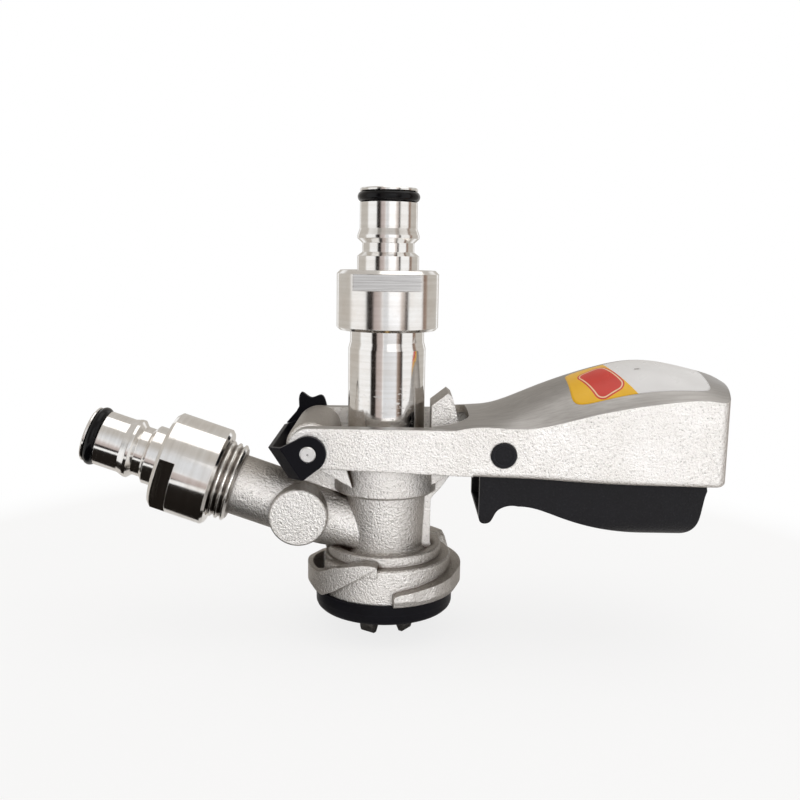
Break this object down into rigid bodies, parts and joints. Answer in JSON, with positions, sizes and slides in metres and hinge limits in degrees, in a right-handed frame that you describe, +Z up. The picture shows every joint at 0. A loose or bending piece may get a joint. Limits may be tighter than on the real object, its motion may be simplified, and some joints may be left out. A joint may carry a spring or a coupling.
{
  "type": "keg coupler",
  "caption": "Lever-operated D-type keg coupler: bayonet base, sliding probe with ball-lock post, slanted gas arm with ball-lock post, cast fork lever with trigger lock.",
  "frame": {"origin": "centre of the base seal's lower face, on the probe's axis", "axes": "+Z up along the probe, +X along the lever towards its handle, the gas arm towards -X"},
  "size_m": [0.1829, 0.0448, 0.127],
  "materials": {
    "cast_stainless": "blasted, speckled",
    "turned_stainless": "fine turned, polished",
    "black_rubber": "satin",
    "black_plastic": "satin moulded",
    "bright_steel": "polished",
    "spring_steel": "zinc plated",
    "white_plastic": "smooth",
    "roller_bronze": "satin"
  },
  "bodies": {
    "housing": {"body": "cast_stainless", "base_seal": "black_rubber", "stem_oring": "black_rubber", "gas_check_valve": "black_rubber", "hinge_pin": "bright_steel", "hinge_clip": "black_plastic", "gas_post": "turned_stainless", "gas_post_oring": "black_rubber", "gas_washer": "white_plastic", "gas_poppet_spring": "spring_steel"},
    "gas_valve": {"gas_poppet": "bright_steel", "gas_poppet_seal": "black_rubber"},
    "probe_slider": {"probe": "turned_stainless", "probe_crown": "bright_steel", "probe_tip_seal": "black_rubber", "ball_stop_pin": "bright_steel", "beer_post": "turned_stainless", "beer_post_oring": "black_rubber", "beer_washer": "white_plastic", "beer_poppet_spring": "spring_steel"},
    "beer_valve": {"beer_poppet": "bright_steel", "beer_poppet_seal": "black_rubber"},
    "ball_check": {"check_ball": "white_plastic"},
    "lever_arm": {"lever": "cast_stainless", "drive_rollers": "roller_bronze", "trigger_pin": "black_plastic", "trigger_spring": "spring_steel"},
    "trigger_lock": {"trigger": "black_plastic"}
  },
  "joints": [
    {"name": "lever_hinge", "type": "hinge", "parent": "housing", "child": "lever_arm", "pos_m": [-0.0205, 0, 0.0488], "axis": [0, -1, 0], "range_deg": [0, 32]},
    {"name": "probe_slide", "type": "slide", "parent": "housing", "child": "probe_slider", "axis": [0, 0, 1], "range_m": [0, 0.011]},
    {"name": "trigger_pivot", "type": "hinge", "parent": "lever_arm", "child": "trigger_lock", "pos_m": [0.0321, 0, 0.0489], "axis": [0, -1, 0], "range_deg": [-6, 7], "stiffness_Nm_per_rad": 0.5},
    {"name": "beer_valve_slide", "type": "slide", "parent": "probe_slider", "child": "beer_valve", "axis": [0, 0, -1], "range_m": [0, 0.003], "stiffness_N_per_m": 400, "springref_m": -0.002, "deforming": ["beer_poppet_spring"]},
    {"name": "gas_valve_slide", "type": "slide", "parent": "housing", "child": "gas_valve", "axis": [0.9472, 0, -0.3206], "range_m": [0, 0.003], "stiffness_N_per_m": 400, "springref_m": -0.002, "deforming": ["gas_poppet_spring"]},
    {"name": "check_ball_lift", "type": "slide", "parent": "probe_slider", "child": "ball_check", "axis": [0, 0, 1], "range_m": [0, 0.0016]}
  ],
  "couplings": [
    {"joint": "probe_slide", "follows": "lever_hinge", "m_per_rad": 0.019451}
  ]
}
